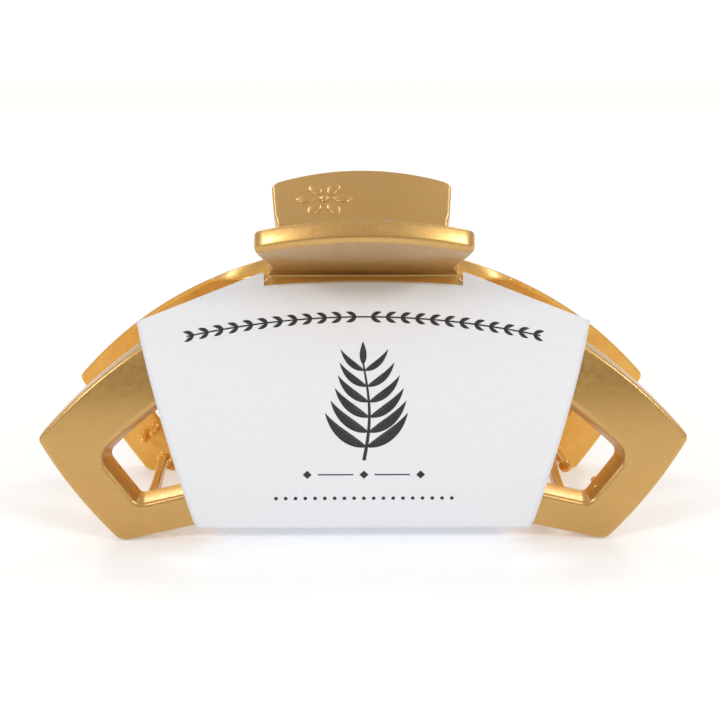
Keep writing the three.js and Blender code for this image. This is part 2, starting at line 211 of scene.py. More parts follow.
class Sheet:
    """A surface carried along X over a (y, z) line: a place is x, the arc length s, and a depth inwards."""

    def __init__(self, line):
        """Arc lengths by adding up the steps, and inward directions a right angle from the tangents."""
        self.line = line
        self.s = np.concatenate([[0], np.cumsum(np.linalg.norm(np.diff(line, axis=0), axis=1))])
        tangent = np.gradient(line, self.s, axis=0)
        tangent /= np.linalg.norm(tangent, axis=1)[:, None]
        self.inward = np.stack([tangent[:, 1], -tangent[:, 0]], 1)

    def at(self, x, s, depth):
        """The line's point at s, carried to x and moved inwards by depth."""
        x, s, depth = np.broadcast_arrays(x, s, depth)
        y, z = (np.interp(s, self.s, self.line[:, i]) for i in (0, 1))
        ny, nz = (np.interp(s, self.s, self.inward[:, i]) for i in (0, 1))
        return np.stack([x, y + depth * ny, z + depth * nz], -1)

    def s_of_z(self, z):
        """The arc length at a height of the line."""
        return np.interp(z, self.line[:, 1], self.s)

    def spread_by_bend(self, low, high, count):
        """count places from low to high, spread by length plus turning."""
        s = self.s[(self.s > low) & (self.s < high)]
        heading = np.unwrap(np.arctan2(*(np.interp(s, self.s, self.inward[:, i]) for i in (1, 0))))
        measure = s + SHEET_BEND * np.cumsum(np.abs(np.gradient(heading)))
        return np.interp(np.linspace(measure[0], measure[-1], count), measure, s)

    def z_of_s(self, s):
        """The line's height at an arc length."""
        return np.interp(s, self.s, self.line[:, 1])

    def level_with(self, z, depth):
        """The arc length whose point at that depth is at height z, for a wall cut straight along Y."""
        heights = self.line[:, 1] + depth * self.inward[:, 1]
        return np.interp(z, heights[:FRAME_POINTS], self.s[:FRAME_POINTS])


JAW = Sheet(outer_profile())
S_HINGE = JAW.s[-1] - (LIP_ARCH + 3) - HANDLE_REACH  # the hinge axis, carried onto the plate
EAR_ROOT_S = S_HINGE + 9.5


# ---------------------------------------------------------------- outlines seen from the front
def crown_centre():
    """Centre of the crown's right arc, which passes through the neck's corner and the tip."""
    neck, tip = np.array([NECK_HALF, CROWN_Z]), np.array([HALF_LENGTH, TIP_Z])
    chord = tip - neck
    side = np.array([chord[1], -chord[0]]) / np.linalg.norm(chord)
    return (neck + tip) / 2 + side * math.sqrt(CROWN_RADIUS**2 - chord @ chord / 4)


CENTRE = crown_centre()


def crown_z(x, inset=0.0):
    """Height of the crown's arc at x, on a circle smaller by inset."""
    return CENTRE[1] + np.sqrt((CROWN_RADIUS - inset) ** 2 - (x - CENTRE[0]) ** 2)


def sill_z(x):
    """Height of the bottom edge: straight from the foot, rounded over the middle."""
    x = np.abs(x)
    straight = SILL_SLOPE * (FOOT_X - x)
    blend = SILL_SLOPE * (FOOT_X - SILL_BLEND / 2 - x**2 / (2 * SILL_BLEND))
    return np.where(x > SILL_BLEND, straight, blend) + FOOT_LIFT


def end_edge(inset=0.0, shares=np.linspace(0, 1, 30)):
    """The right end edge, a chord from tip to foot that bulges as a parabola, moved inwards by inset."""
    tip, foot = np.array([HALF_LENGTH, TIP_Z]), np.array([FOOT_X, FOOT_LIFT])
    along = foot - tip
    outward = np.array([-along[1], along[0]]) / np.linalg.norm(along)
    t = np.asarray(shares)[:, None]
    return tip + along * t + outward * (4 * END_BULGE * t * (1 - t) - inset)


def rounded_join(sides, radii, closed):
    """One line through the sides, with an arc of its own radius where each meets the next."""
    count = len(sides)
    sides = [np.asarray(side, float) for side in sides]
    arcs = [None] * count
    for i in range(count if closed else count - 1):
        a, b, r = sides[i], sides[(i + 1) % count], radii[i]
        corner = a[-1]
        far_a, far_b = (side[np.linalg.norm(side - corner, axis=1) > r] for side in (a, b))
        back = (a[-2] if np.linalg.norm(a[-2] - corner) > r else far_a[-1]) - corner
        ahead = (b[1] if np.linalg.norm(b[1] - corner) > r else far_b[0]) - corner
        back, ahead = back / np.linalg.norm(back), ahead / np.linalg.norm(ahead)
        half = math.acos(np.clip(back @ ahead, -1, 1)) / 2
        run = r / math.tan(half)
        middle = (back + ahead) / np.linalg.norm(back + ahead)
        centre = corner + middle * r / math.sin(half)
        start, end = corner + back * run - centre, corner + ahead * run - centre
        turn = math.atan2(start[0] * end[1] - start[1] * end[0], start @ end)
        angle = np.linspace(0, turn, 17)[:, None]
        arcs[i] = centre + np.cos(angle) * start + np.sin(angle) * np.array([-start[1], start[0]])
        sides[i] = a[np.linalg.norm(a - corner, axis=1) > run * 1.02]
        sides[(i + 1) % count] = b[np.linalg.norm(b - corner, axis=1) > run * 1.02]
    return sides, arcs


def resample(line, count):
    """count points along a line, spread by length plus turning, so that arcs get more of them."""
    step = np.diff(line, axis=0)
    length = np.linalg.norm(step, axis=1)
    keep = np.concatenate([[True], length > 1e-7])
    line = line[keep]
    step = np.diff(line, axis=0)
    length = np.linalg.norm(step, axis=1)
    heading = np.unwrap(np.arctan2(step[:, 1], step[:, 0]))
    turn = np.abs(np.gradient(heading)) if len(heading) > 1 else np.zeros(1)
    measure = np.concatenate([[0], np.cumsum(length + OUTLINE_BEND * turn)])
    at = np.linspace(0, measure[-1], count)
    return np.stack([np.interp(at, measure, line[:, i]) for i in (0, 1)], 1)


def line_between(a, b, n=24):
    """n evenly spaced points from a to b."""
    return np.linspace(np.asarray(a, float), np.asarray(b, float), n)


def end_crossing(height):
    """Where the end edge, moved in by its band, crosses the line height(x)."""
    points = end_edge(END_BAND, np.linspace(-0.4, 1.4, 2000))
    return points[np.argmin(np.abs(points[:, 1] - height(points[:, 0])))]


COUNTS = {"top": 40, "crown": 110, "end": 52, "sill": 80, "middle": 64}


def edge_steps(r, support):
    """Insets that resolve a rounded edge of radius r, with a supporting line beyond it."""
    return np.concatenate([r * (1 - np.cos(quarter())), [r + support]])


def ease_to_edge(length, count, r):
    """Distances from an edge: the rounding's own insets, then even steps to length."""
    near = edge_steps(r, 0.3)
    return np.concatenate([near, np.linspace(near[-1], length, count - len(near) + 1)[1:]])


def neck_half(z):
    """Half width of the neck between the crown's corner and the waist."""
    return NECK_HALF + (WAIST_HALF - NECK_HALF) * (z - CROWN_Z) / (HINGE_Z + 2 - CROWN_Z)


def crown_x(z):
    """The right crown edge's x at a height."""
    return CENTRE[0] + np.sqrt(CROWN_RADIUS**2 - (z - CENTRE[1]) ** 2)


def free_sides():
    """The right half's free edge, clockwise: neck, crown, end and bottom, and the arcs that round corners."""
    neck = line_between((neck_half(NECK_TOP_Z), NECK_TOP_Z), (NECK_HALF, CROWN_Z), 30)
    x = np.linspace(NECK_HALF, HALF_LENGTH, 160)
    crown = np.stack([x, crown_z(x)], 1)
    x = np.linspace(FOOT_X, 0, 90)
    sill = np.stack([x, sill_z(x)], 1)
    return rounded_join([neck, crown, end_edge(), sill], [NECK_ROUND, TIP_ROUND, FOOT_ROUND], False)


SIDES, ARCS = free_sides()
FREE_EDGE = np.concatenate([SIDES[0], ARCS[0], SIDES[1], ARCS[1], SIDES[2], ARCS[2], SIDES[3]])
JOIN_HALF = float(crown_x(JOIN_Z))


def to_free_edge(points):
    """Distance, seen from the front, from each (x, z) point to the jaw's free edge."""
    return np.minimum(distance(points, FREE_EDGE), distance(points, FREE_EDGE * (-1, 1)))


def outer_loop():
    """The frame's right half, clockwise from the top of the centre line, and which of it is a free edge."""
    crown = SIDES[1][SIDES[1][:, 1] < JOIN_Z - 0.05]
    half_tip, half_foot = len(ARCS[1]) // 2, len(ARCS[2]) // 2
    blocks = {
        "crown": np.concatenate([[(JOIN_HALF, JOIN_Z)], crown, ARCS[1][: half_tip + 1]]),
        "end": np.concatenate([ARCS[1][half_tip:], SIDES[2], ARCS[2][: half_foot + 1]]),
        "sill": np.concatenate([ARCS[2][half_foot:], SIDES[3]]),
    }
    top = JOIN_HALF - ease_to_edge(JOIN_HALF, COUNTS["top"], SIDE_EDGE)[::-1]
    middle = sill_z(0.0) + ease_to_edge(JOIN_Z - sill_z(0.0), COUNTS["middle"], EDGE)
    loop = [np.stack([top, np.full_like(top, JOIN_Z)], 1)[:-1]]
    loop += [resample(blocks[k], COUNTS[k])[:-1] for k in ("crown", "end", "sill")]
    loop += [np.stack([np.zeros_like(middle), middle], 1)[:-1]]
    free = np.concatenate([np.full(len(part), 0 < i < 4) for i, part in enumerate(loop)])
    return np.concatenate(loop), free


def window_loop():
    """The right window's edge, clockwise, matched point for point with the outer loop."""
    web = NECK_HALF + 1
    sill = lambda x: sill_z(x) + SILL_BAND
    top, low = end_crossing(lambda x: crown_z(x, CROWN_BAND)), end_crossing(sill)
    x = np.linspace(web, top[0], 60)
    crown = np.stack([x, crown_z(x, CROWN_BAND)], 1)
    bottom = line_between((low[0], sill(low[0])), (web, sill(web)), 40)
    edges = [line_between(bottom[-1], crown[0]), crown, line_between(crown[-1], bottom[0]), bottom]
    sides, arcs = rounded_join(edges, WINDOW_ROUNDS, True)
    halves = [(arc[: len(arc) // 2 + 1], arc[len(arc) // 2 :]) for arc in arcs]
    web_up = sides[0]
    third = len(web_up) * 2 // 3
    blocks = {
        "top": np.concatenate([web_up[third:], halves[0][0]]),
        "crown": np.concatenate([halves[0][1], sides[1], halves[1][0]]),
        "end": np.concatenate([halves[1][1], sides[2], halves[2][0]]),
        "sill": np.concatenate([halves[2][1], sides[3], halves[3][0]]),
        "middle": np.concatenate([halves[3][1], web_up[: third + 1]]),
    }
    return np.concatenate([resample(blocks[k], COUNTS[k])[:-1] for k in blocks])


def mitres(loop):
    """At each point of a clockwise loop, the vector that moves it one millimetre in from both its sides."""
    ahead = np.roll(loop, -1, 0) - loop
    ahead /= np.linalg.norm(ahead, axis=1)[:, None]
    normal = np.stack([ahead[:, 1], -ahead[:, 0]], 1)
    before = np.roll(normal, 1, 0)
    return (normal + before) / (1 + np.sum(normal * before, axis=1))[:, None]


def eased(loop, insets, corners, reach=5.0):
    """Insets that also slide along a sharp corner's sides, evenly less to none at reach."""
    eased_insets = insets.copy()
    for corner in corners:
        offset = loop - loop[corner]
        far = np.linalg.norm(offset, axis=1)
        side = offset / np.maximum(far, 1e-9)[:, None]
        slide = (side @ insets[corner]) * np.clip(1 - far / reach, 0, 1)
        eased_insets += side * slide[:, None]
    return eased_insets


def distance(points, line, closed=False):
    """Distance from each point to the nearest place on a line of points."""
    a = line if closed else line[:-1]
    b = np.roll(line, -1, 0) if closed else line[1:]
    best = np.full(len(points), np.inf)
    for start in range(0, len(points), 4000):
        p = points[start : start + 4000, None]
        t = np.clip(np.sum((p - a) * (b - a), -1) / np.maximum(np.sum((b - a) ** 2, -1), 1e-12), 0, 1)
        best[start : start + 4000] = np.min(np.linalg.norm(p - (a + t[..., None] * (b - a)), axis=-1), 1)
    return best


def drop(d, r):
    """How far a rounded edge of radius r lies below the face at a distance d from the edge."""
    return r - np.sqrt(np.maximum(r**2 - (r - np.minimum(d, r)) ** 2, 0))


# ---------------------------------------------------------------- the jaw
def back_s(z, s):
    """The inner side's arc length for a place on the face: along Y on the frame, square to the handle."""
    straight = 1 - smoothstep(z, HINGE_Z - 6, HINGE_Z)
    return s + (JAW.level_with(z, WALL) - s) * straight


def frame_half(side):
    """Half of the frame: a grid between the outline and the window, doubled into a wall with rounded edges.
    The window is drafted: its inner side is smaller all round."""
    outer, free = outer_loop()
    window = window_loop()
    first_free = int(np.argmax(free))
    corners = (0, first_free, first_free + int(free.sum()))
    into, away = eased(outer, mitres(outer), corners), -mitres(window)
    near, far = edge_steps(EDGE, 0.3), edge_steps(WINDOW_EDGE, 0.35)
    rim = [outer + a * into for a in near]
    hole = [window + b * away for b in far]
    first, last = (np.stack([edge[:, 0], JAW.s_of_z(edge[:, 1])], 1) for edge in (rim[-1], hole[-1]))
    between = [first + (last - first) * t for t in np.linspace(0, 1, 32)[1:-1]]
    between = [np.stack([p[:, 0], JAW.z_of_s(p[:, 1])], 1) for p in between]
    flat = np.stack(rim + between + hole[::-1])
    rows, cols, _ = flat.shape
    points = flat.reshape(-1, 2)
    to_edge, to_window = to_free_edge(points), distance(points, window, closed=True)
    s = JAW.s_of_z(points[:, 1])
    face = JAW.at(points[:, 0], s, np.maximum(drop(to_edge, EDGE), drop(to_window, WINDOW_EDGE)))
    draft = WINDOW_DRAFT * (1 - smoothstep(to_window, 0, 4 * WINDOW_DRAFT)).reshape(rows, cols, 1) * -away
    x, z = (flat + draft).reshape(-1, 2).T
    back = JAW.at(x, back_s(z, JAW.s_of_z(z)), WALL - drop(np.minimum(to_edge, to_window), INNER_EDGE))
    quads = grid_quads(rows, cols, loop_cols=True)
    hole_start = (rows - 1) * cols
    wall = grid_quads(2, cols, loop_cols=True)
    rim_wall = (np.concatenate([face[:cols], back[:cols]]), wall[free])
    window_wall = (np.concatenate([face[hole_start:], back[hole_start:]]), wall)
    parts = [(face, quads), (back, quads), rim_wall, window_wall]
    return [(p * (side, 1, 1), q) for p, q in parts]


def crown_drop(x, s):
    """The handle is crowned: off its middle it sinks as the square of x, the more the nearer the lip."""
    return -HANDLE_CROWN * (x / LIP_HALF) ** 2 * smoothstep(s, S_HINGE + 9, S_HINGE + HANDLE_REACH)


def handle_outline():
    """Half widths from the frame's join, over the crown's shoulder and neck, out to the lip, as (s, x)."""
    shoulder = SIDES[1][SIDES[1][:, 1] > JOIN_Z + 0.05]
    side = np.concatenate([SIDES[0], ARCS[0], shoulder, [(JOIN_HALF, JOIN_Z)]])[::-1]
    low_s = JAW.s_of_z(side[:, 1])
    s_narrow, s_lip = JAW.s_of_z(HINGE_Z + 2), S_HINGE + HANDLE_REACH
    knots = [low_s[-1], s_narrow, S_HINGE + 13, s_lip, s_lip + LIP_ARCH + 2]
    widths = [side[-1, 0], WAIST_HALF, 16.2, LIP_HALF, LIP_HALF]
    s = np.linspace(low_s[-1], knots[-1], 120)[1:]
    blur = np.minimum(1.6, s - low_s[-1]) * np.linspace(-1, 1, 9)[:, None]
    x = np.mean(np.interp(s + blur, knots, widths), axis=0)
    return np.concatenate([low_s, s]), np.concatenate([side[:, 0], x])


def handle_shell():
    """The shoulder, neck and handle: columns across, rows along the profile up to the arched lip."""
    right = JOIN_HALF - ease_to_edge(JOIN_HALF, COUNTS["top"], SIDE_EDGE)[::-1]
    across = np.concatenate([-right[:0:-1], right]) / JOIN_HALF
    s0, s_lip = float(JAW.s_of_z(JOIN_Z)), S_HINGE + HANDLE_REACH
    outline_s, outline_x = handle_outline()
    half_width = lambda s: np.interp(s, outline_s, outline_x)
    corner = drop(LIP_HALF - np.abs(across) * LIP_HALF, LIP_ROUND)
    s_end = s_lip + LIP_ARCH * (1 - across**2) - corner
    near = edge_steps(LIP_EDGE, 0.3)
    rows_s = JAW.spread_by_bend(s0, s_lip, 96)
    share = ((rows_s - rows_s[0]) / (rows_s[-1] - rows_s[0]))[:, None]
    s = np.concatenate([s0 + (s_end - near[-1] - s0) * share, s_end - near[:-1][::-1, None]])
    x = across * half_width(s)
    rows, cols = s.shape
    side_s = outline_s[outline_s < s_end[0]]
    left = np.stack([-half_width(side_s), side_s], 1)
    lip = np.stack([across * half_width(s_end), s_end], 1)
    outline = np.concatenate([left, lip, left[::-1] * (-1, 1)])
    x, s = x.ravel(), s.ravel()
    z = JAW.z_of_s(s)
    on_sheet = distance(np.stack([x, s], 1), outline)
    from_front = to_free_edge(np.stack([x, z], 1))
    d = from_front + (on_sheet - from_front) * smoothstep(z, JOIN_Z, HINGE_Z - 1)
    to_lip = np.clip((s - s0) / (s_lip - s0), 0, 1)
    radius = EDGE + (SIDE_EDGE - EDGE) * smoothstep(to_lip, 0.15, 0.45)
    face = JAW.at(x, s, crown_drop(x, s) + drop(d, radius))
    back = JAW.at(x, back_s(z, s), crown_drop(x, s) + WALL - drop(d, INNER_EDGE))
    quads = grid_quads(rows, cols)
    index = np.arange(rows * cols).reshape(rows, cols)
    border = np.concatenate([index[:, 0], index[-1, 1:], index[-2::-1, -1]])
    wall = (np.concatenate([face[border], back[border]]), grid_quads(2, len(border)))
    return [(face, quads), (back, quads), wall]


def face_y(z, depth):
    """y of the front jaw's wall at a height, at a depth into it."""
    return JAW.at(0.0, JAW.s_of_z(z), depth)[..., 1]


def superellipse(count, power=3.0):
    """Unit outline of a rounded rectangle: |a|^power + |b|^power = 1."""
    t = np.linspace(0, 2 * math.pi, count, endpoint=False)
    c, s = np.cos(t), np.sin(t)
    return np.stack([np.sign(c) * np.abs(c) ** (2 / power), np.sign(s) * np.abs(s) ** (2 / power)], 1)


def tooth(x):
    """A prong: a rounded section swept from inside the wall over the middle, ending in a ball."""
    low = float(sill_z(x))
    root = float(face_y(low + 4, WALL / 2))
    line = bezier([(root, low + 4), (root + 9, low + 4.2), (TOOTH_REACH - 7, low + TOOTH_RISE - 1.4),
                   (TOOTH_REACH, low + TOOTH_RISE)], 46)
    t = np.linspace(0, 1, len(line))
    half_height = 2.2 - 1.25 * t**0.8
    half_width = TOOTH_HALF_WIDTH + 0.35 * (1 - t) ** 3
    ball = np.linspace(-1.0, 1.0, 16)[1:]
    ball_radius = TOOTH_TIP_RADIUS * np.sqrt(np.maximum(1 - ball**2, 0))
    heading = (line[-1] - line[-2]) / np.linalg.norm(line[-1] - line[-2])
    ball_line = line[-1] + np.outer(ball * TOOTH_TIP_RADIUS, heading)
    shaft = line[np.linalg.norm(line - line[-1], axis=1) > TOOTH_TIP_RADIUS * 0.75]
    n = len(shaft)
    centres = np.concatenate([shaft[:1], shaft, ball_line[2:]])
    width = np.concatenate([[0], half_width[:n], ball_radius[2:]])
    height = np.concatenate([[0], half_height[:n], ball_radius[2:]])
    power = np.concatenate([[3.0], np.full(n, 3.0), np.full(len(ball_line) - 2, 2.0)])
    tangent = np.gradient(centres, axis=0)
    tangent[0] = tangent[1]
    tangent /= np.linalg.norm(tangent, axis=1)[:, None]
    normal = np.stack([-tangent[:, 1], tangent[:, 0]], 1)
    sections = np.stack([superellipse(TOOTH_SIDES, p) for p in power])
    rings = np.empty((len(centres), TOOTH_SIDES, 3))
    rings[..., 0] = x + sections[..., 0] * width[:, None]
    offset = sections[..., 1] * height[:, None]
    rings[..., 1:] = centres[:, None] + offset[..., None] * normal[:, None]
    return tube(rings)


def nub(past, z):
    """A grip peg that stands on the wall's inner side, with a domed end."""
    x = FOOT_X + past
    root = float(face_y(z, WALL / 2))
    length = -NUB_TIP_Y - root
    flare = np.linspace(0, 1, 8)[:, None]
    radius = NUB_RADIUS * (1 + 0.9 * (1 - flare) ** 4)
    shaft = np.concatenate([radius, NUB_FOOT + (length - NUB_FOOT) * flare], 1)
    dome = np.stack([NUB_RADIUS * np.cos(quarter()), length + NUB_RADIUS * np.sin(quarter())], 1)[1:]
    profile = np.concatenate([[(0, 0), (NUB_RADIUS * 1.9, 0)], shaft, dome])
    return revolved(profile, (x, root, z), 20, "y")


def ear(x0):
    """A hinge ear: its outline carried along X with rounded rims, and a bore for the pin through it."""
    inside = JAW.at(0.0, np.linspace(JAW.s_of_z(HINGE_Z - EAR_RADIUS - 2), EAR_ROOT_S, 30), WALL * 0.6)[:, 1:]
    top, bottom = inside[-1], inside[0]
    under = bezier([bottom, (-EAR_RADIUS - 1, HINGE_Z - EAR_RADIUS + 1), (0, HINGE_Z - EAR_RADIUS)], 40)
    angle = np.linspace(-math.pi / 2, math.pi / 2, 60)[:, None]
    nose = np.concatenate([EAR_RADIUS * np.cos(angle), HINGE_Z + EAR_RADIUS * np.sin(angle)], 1)
    over = bezier([(0, HINGE_Z + EAR_RADIUS), (-EAR_RADIUS, HINGE_Z + EAR_RADIUS), top], 40)
    root = inside[::-1]
    outline = np.concatenate([under[:-1], nose[:-1], over[:-1], root[:-1]])
    closed = np.concatenate([outline, outline[:1]])
    length = np.concatenate([[0], np.cumsum(np.linalg.norm(np.diff(closed, axis=0), axis=1))])
    at = np.linspace(0, length[-1], EAR_POINTS, endpoint=False)
    outline = np.stack([np.interp(at, length, closed[:, i]) for i in (0, 1)], 1)
    inward = mitres(outline[::-1])[::-1]
    hinge = np.array([0, HINGE_Z])
    bearing = np.unwrap(np.arctan2(*(outline - hinge).T[::-1]))
    circle = np.stack([np.cos(bearing), np.sin(bearing)], 1)
    rings = []
    for side, x_face in ((1, x0), (-1, x0 + EAR_WIDTH)):
        turn = quarter(4) if side == 1 else quarter(4)[::-1]
        skin = [(x_face + side * EAR_RIM * (1 - math.sin(a)), outline + inward * EAR_RIM * (1 - math.cos(a)))
                for a in turn]
        bore = (x_face, hinge + circle * BORE_RADIUS)
        if side == 1:
            rings += [bore] + skin[::-1]
        else:
            rings += skin[::-1] + [bore]
    stack = np.stack([np.concatenate([np.full((EAR_POINTS, 1), x), ring], 1) for x, ring in rings])
    return stack.reshape(-1, 3), grid_quads(len(rings), EAR_POINTS, loop_rows=True, loop_cols=True)


def petal(centre, bearing, length, width, height):
    """A low almond on the handle's inner face: an ellipse whose axes go as the sine's power 0.8 along it."""
    along = np.linspace(0, 1, 15)[:, None]
    turn = np.linspace(0, 2 * math.pi, 20, endpoint=False)[None, :]
    half = width / 2 * np.sin(math.pi * along) ** 0.8
    side = half * np.cos(turn)
    rise = height * np.sin(math.pi * along) ** 0.8 * np.sin(turn)
    u = length * along + 0 * turn
    x = centre[0] + u * math.cos(bearing) - side * math.sin(bearing)
    s = S_HINGE + centre[1] + u * math.sin(bearing) + side * math.cos(bearing)
    return tube(JAW.at(x, s, crown_drop(x, s) + WALL + rise))


def raised_flower():
    """The handle's moulded ornament: six petals round a button."""
    parts = []
    for bearing in np.arange(PETAL_COUNT) * 2 * math.pi / PETAL_COUNT:
        start = (FLOWER_X + PETAL_START * math.cos(bearing), FLOWER_REACH + PETAL_START * math.sin(bearing))
        parts.append(petal(start, bearing, PETAL_LENGTH, PETAL_WIDTH, PETAL_HEIGHT))
    start = (FLOWER_X - BUTTON_WIDTH / 2, FLOWER_REACH)
    return parts + [petal(start, 0.0, BUTTON_WIDTH, BUTTON_WIDTH, BUTTON_HEIGHT)]


def jaw_parts():
    """Every surface of the front jaw. They overlap only where details grow out of the moulding's wall."""
    parts = frame_half(1) + frame_half(-1) + handle_shell()
    first = -(FOOT_X - TOOTH_MARGIN)
    pitch = (-2 * first - TOOTH_STAGGER) / (TOOTH_COUNT - 1)
    details = [tooth(first + pitch * i) for i in range(TOOTH_COUNT)]
    details += [nub(*place) for place in NUBS]
    details += [ear(-EAR_OUTER), ear(EAR_OUTER - 2 * EAR_WIDTH - EAR_PLAY)]
    return parts + details + raised_flower()


# ---------------------------------------------------------------- pin and spring
def pin_parts():
    """The pin, turned: a straight shank with a peened, domed head at each end."""
    inner = EAR_OUTER + HEAD_PLAY
    fall = (1 - np.cos(quarter(8))) * (PIN_END - inner - 0.15)
    dome = np.stack([HEAD_RADIUS * np.sin(quarter(8)), PIN_END - fall], 1)
    under = [(HEAD_RADIUS, inner + HEAD_EDGE), (HEAD_RADIUS - HEAD_EDGE, inner), (PIN_RADIUS, inner),
             (PIN_RADIUS, inner - 0.2)]
    half = np.concatenate([dome, under])
    profile = np.concatenate([half, half[::-1] * (1, -1)])
    return [revolved(profile[::-1], (0, 0, HINGE_Z), 48)]


def spring_line():
    """The wire's middle line and the half width of its coil: a leg, a helix about the pin, and a leg."""
    out = np.array([-math.cos(HANDLE_TILT), math.sin(HANDLE_TILT)])
    up = np.array([math.sin(HANDLE_TILT), math.cos(HANDLE_TILT)])
    end = out * LEG_REACH + up * (WIRE_RADIUS + SPRING_CLEAR - PLATE_DROP)
    reach = np.linalg.norm(end)
    start = math.atan2(end[1], end[0]) - math.acos(COIL_RADIUS / reach)
    sweep = 2 * math.pi * COIL_TURNS + math.pi + 2 * start
    half = COIL_PITCH * sweep / (4 * math.pi)
    turned = np.linspace(0, 1, 330)[:, None]
    angle = start - sweep * turned
    across = half * (2 * turned - 1)
    coil = np.concatenate([across, COIL_RADIUS * np.cos(angle), HINGE_Z + COIL_RADIUS * np.sin(angle)], 1)
    front_end = np.array([-half, end[0], HINGE_Z + end[1]])
    back_end = front_end * (-1, -1, 1)
    front = np.linspace(front_end, coil[0], 26)
    back = np.linspace(coil[-1], back_end, 26)
    return np.concatenate([front[:-1], coil, back[1:]]), half


def swept_wire(line, radius, sides=16):
    """A circle of one radius swept along a line. The section's axes are the tangent crossed with X, and the
    tangent crossed with that. Each end is dished: its pole lies at the line's end, and its rim past that."""
    tangent = np.gradient(line, axis=0)
    tangent /= np.linalg.norm(tangent, axis=1)[:, None]
    first = np.cross(tangent, (1, 0, 0))
    first /= np.linalg.norm(first, axis=1)[:, None]
    second = np.cross(tangent, first)
    cap = np.array([0, 0.5, 0.8, 0.95])
    size = np.concatenate([cap, np.ones(len(line)), cap[::-1]]) * radius
    stands_out = ((1 - np.sqrt(1 - cap**2)) * radius)[:, None]
    start, end = line[0] - tangent[0] * stands_out, line[-1] + tangent[-1] * stands_out[::-1]
    centres = np.concatenate([start, line, end])
    pad = lambda v: np.concatenate([np.repeat(v[:1], len(cap), 0), v, np.repeat(v[-1:], len(cap), 0)])
    a = np.linspace(0, 2 * math.pi, sides, endpoint=False)[None, :, None]
    ring = np.cos(a) * pad(first)[:, None] + np.sin(a) * pad(second)[:, None]
    return tube(centres[:, None] + ring * size[:, None, None])


# ---------------------------------------------------------------- the card
def card_profile():
    """The card's back as a (y, z) line: the flap under the jaw, the fold, the face, and straight on above."""
    outside = JAW.at(0.0, JAW.s, -CARD_GAP)[:, 1:]
    flap_z = CARD_FOOT_Z + CARD_THICKNESS
    face = outside[(outside[:, 1] > flap_z + FOLD_RADIUS) & (outside[:, 1] < CARD_NOTCH_SIDE - 0.6)]
    lean = (face[-1] - face[-2]) / np.linalg.norm(face[-1] - face[-2])
    top = face[-1] + lean * np.linspace(0.3, 6, 16)[:, None]
    bend = np.array([face[0][0] + FOLD_RADIUS, flap_z + FOLD_RADIUS])
    angle = np.linspace(1.5 * math.pi, math.pi, FOLD_POINTS)[:, None]
    fold = bend + FOLD_RADIUS * np.concatenate([np.cos(angle), np.sin(angle)], 1)
    flap = np.linspace((face[0][0] + FLAP_DEPTH, flap_z), fold[0], FLAP_POINTS)
    return np.concatenate([flap[:-1], fold, face[1:], top])


CARD = Sheet(card_profile())


def panel_half(z):
    """Half width of the card's panel: its sides spread from the foot to the upper corners."""
    share = np.clip((z - CARD_FOOT_Z) / (CARD_TOP_Z - CARD_FOOT_Z), 0, 1)
    return CARD_FOOT_HALF + (CARD_HALF - CARD_FOOT_HALF) * share


def card_top(x):
    """Height of the card's top edge: a notch under the neck, and straight shoulders down to the corners."""
    x = np.abs(x)
    notch = CARD_NOTCH_MIDDLE + (CARD_NOTCH_SIDE - CARD_NOTCH_MIDDLE) * (x / CARD_SHOULDER_X) ** 2
    slope = (x - CARD_SHOULDER_X) / (CARD_HALF - CARD_SHOULDER_X)
    return np.where(x < CARD_SHOULDER_X, notch, CARD_SHOULDER_Z + (CARD_TOP_Z - CARD_SHOULDER_Z) * slope)


def card_s(z):
    """Arc length on the card at a height of its panel, past the fold."""
    return np.interp(z, CARD.line[FOLD_END:, 1], CARD.s[FOLD_END:])


def thick_sheet(x, s):
    """The card's two faces and the cut edge round them, from one grid of places."""
    rows, cols = x.shape
    back = CARD.at(x.ravel(), s.ravel(), 0.0)
    front = CARD.at(x.ravel(), s.ravel(), -CARD_THICKNESS)
    index = np.arange(rows * cols).reshape(rows, cols)
    border = np.concatenate([index[0], index[1:, -1], index[-1, -2::-1], index[-2:0:-1, 0]])
    rim = (np.concatenate([back[border], front[border]]), grid_quads(2, len(border), loop_cols=True))
    quads = grid_quads(rows, cols)
    return [(back, quads), (front, quads), rim]


def card_parts():
    """Columns across, close together at the notch's sides, and rows from the flap's end to the top."""
    shoulder = CARD_SHOULDER_X / CARD_HALF
    notch, wings = np.linspace(0, shoulder - 1e-3, 16), np.linspace(shoulder, 1, 18)[1:]
    half = np.concatenate([notch, [shoulder + 1e-3], wings])
    u = np.concatenate([-half[:0:-1], half])
    z_top = card_top(u * CARD_HALF)
    flap, fold = np.linspace(0, CARD.s[FOLD_START], 14), CARD.s[FOLD_START + 1 : FOLD_END + 1]
    low = float(CARD.s[FOLD_END])
    rows_low = np.concatenate([flap, fold])
    s_low = np.repeat(rows_low[:, None], len(u), 1)
    width = np.where(rows_low < CARD.s[FOLD_START + 2], FLAP_HALF, CARD_FOOT_HALF)
    corner = np.clip(rows_low / FLAP_CORNER, 0, 1)
    width = width - FLAP_CORNER * (1 - np.sqrt(np.maximum(1 - (1 - corner) ** 2, 0)))
    x_low = u * width[:, None]
    s_top = card_s(z_top)
    s_panel = low + (s_top - low) * np.linspace(0, 1, PANEL_ROWS)[1:, None]
    z_panel = np.interp(s_panel, CARD.s, CARD.line[:, 1])
    x_panel = u * panel_half(z_panel)
    return thick_sheet(np.concatenate([x_low, x_panel]), np.concatenate([s_low, s_panel]))


